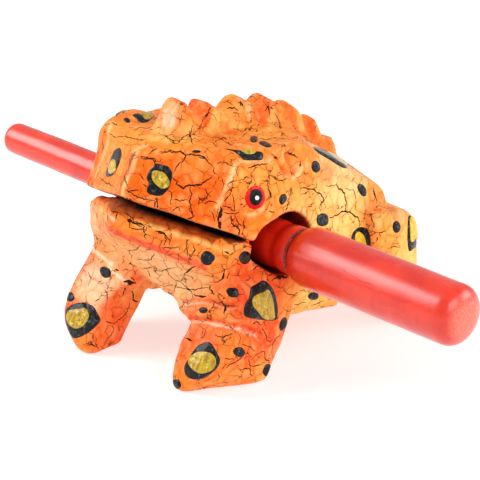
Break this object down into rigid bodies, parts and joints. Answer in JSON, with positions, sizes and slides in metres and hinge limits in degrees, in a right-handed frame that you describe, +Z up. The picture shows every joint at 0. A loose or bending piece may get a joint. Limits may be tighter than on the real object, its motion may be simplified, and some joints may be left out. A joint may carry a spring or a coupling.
{
  "type": "frog rasp",
  "caption": "Carved wooden frog rasp (guiro) with a notched crest along the back and a turned stick stored crosswise through the mouth; scraping the crest with the stick makes a croak.",
  "frame": {"origin": "on the ground under the middle of the whole object's outline, stick included", "axes": "+Z up; the frog looks along -Y; +X runs across the frog towards the stick's handle"},
  "size_m": [0.1919, 0.1032, 0.0812],
  "materials": {
    "painted_wood": "crackled orange paint with raised gloss enamel spots",
    "red_handle": "satin coral red lacquer",
    "red_shaft": "satin coral red lacquer"
  },
  "bodies": {
    "frog": {"frog_body": "painted_wood"},
    "striker": {"striker_handle": "red_handle", "striker_shaft": "red_shaft"}
  },
  "joints": [
    {"name": "striker_draw", "type": "slide", "parent": "frog", "child": "striker", "axis": [0.9982, 0, -0.0593], "range_m": [0, 0.135]}
  ]
}
